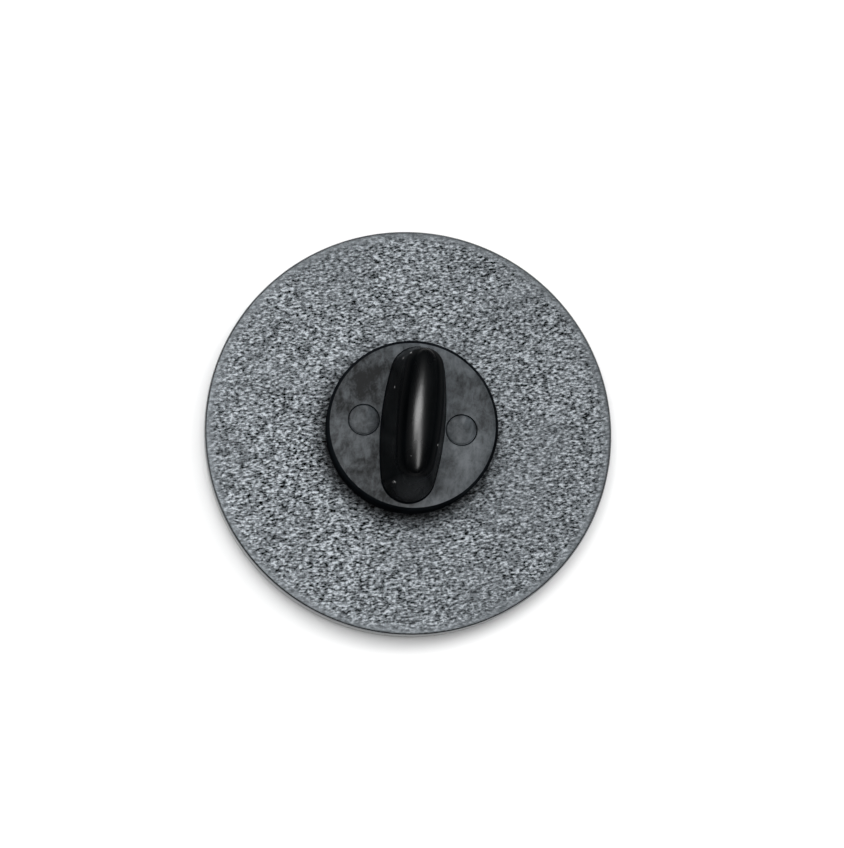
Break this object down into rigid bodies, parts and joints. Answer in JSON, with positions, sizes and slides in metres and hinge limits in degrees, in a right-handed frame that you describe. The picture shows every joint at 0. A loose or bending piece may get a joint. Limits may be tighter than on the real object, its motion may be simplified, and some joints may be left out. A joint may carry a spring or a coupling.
{
  "type": "enamel pin",
  "caption": "Round enamel pin lying on its front, with a sandblasted metal back and a push-on rubber clutch on its post.",
  "frame": {"origin": "on the post's axis, in the plane that the front rim rests on", "axes": "+Z out of the back along the post, +Y upright for the front design and along the clutch's fin"},
  "size_m": [0.0254, 0.0254, 0.0101],
  "materials": {
    "black_nickel": "black-nickel plating, sandblasted on the back, polished on the rim and raised lines",
    "steel_post": "drawn steel pin, black-nickel plated",
    "braze": "plated braze fillet, slightly rough",
    "black_pvc": "soft black PVC, semi-gloss as moulded",
    "enamel_ivory": "glossy baked enamel",
    "enamel_coral": "glossy baked enamel",
    "enamel_mustard": "glossy baked enamel",
    "enamel_rust": "glossy baked enamel",
    "enamel_teal": "glossy baked enamel",
    "enamel_navy": "glossy baked enamel"
  },
  "bodies": {
    "badge": {"die_struck_base": "black_nickel", "enamel_hub": "enamel_coral", "enamel_facet_01": "enamel_ivory", "enamel_facet_02": "enamel_rust", "enamel_facet_03": "enamel_mustard", "enamel_facet_04": "enamel_coral", "enamel_facet_05": "enamel_ivory", "enamel_facet_06": "enamel_rust", "enamel_facet_07": "enamel_mustard", "enamel_facet_08": "enamel_coral", "enamel_facet_09": "enamel_ivory", "enamel_facet_10": "enamel_rust", "enamel_facet_11": "enamel_mustard", "enamel_facet_12": "enamel_coral", "enamel_facet_13": "enamel_ivory", "enamel_facet_14": "enamel_rust", "enamel_facet_15": "enamel_mustard", "enamel_facet_16": "enamel_coral", "enamel_field_1": "enamel_teal", "enamel_field_2": "enamel_teal", "enamel_field_3": "enamel_teal", "enamel_field_4": "enamel_teal", "enamel_border_1": "enamel_ivory", "enamel_border_2": "enamel_navy", "enamel_border_3": "enamel_ivory", "enamel_border_4": "enamel_navy", "enamel_border_5": "enamel_ivory", "enamel_border_6": "enamel_navy", "enamel_border_7": "enamel_ivory", "enamel_border_8": "enamel_navy", "post": "steel_post", "braze_fillet": "braze"},
    "clutch": {"rubber_clutch": "black_pvc"}
  },
  "joints": [
    {"name": "clutch_pull", "type": "slide", "parent": "badge", "child": "clutch", "axis": [0, 0, 1], "range_m": [0, 0.009]}
  ]
}
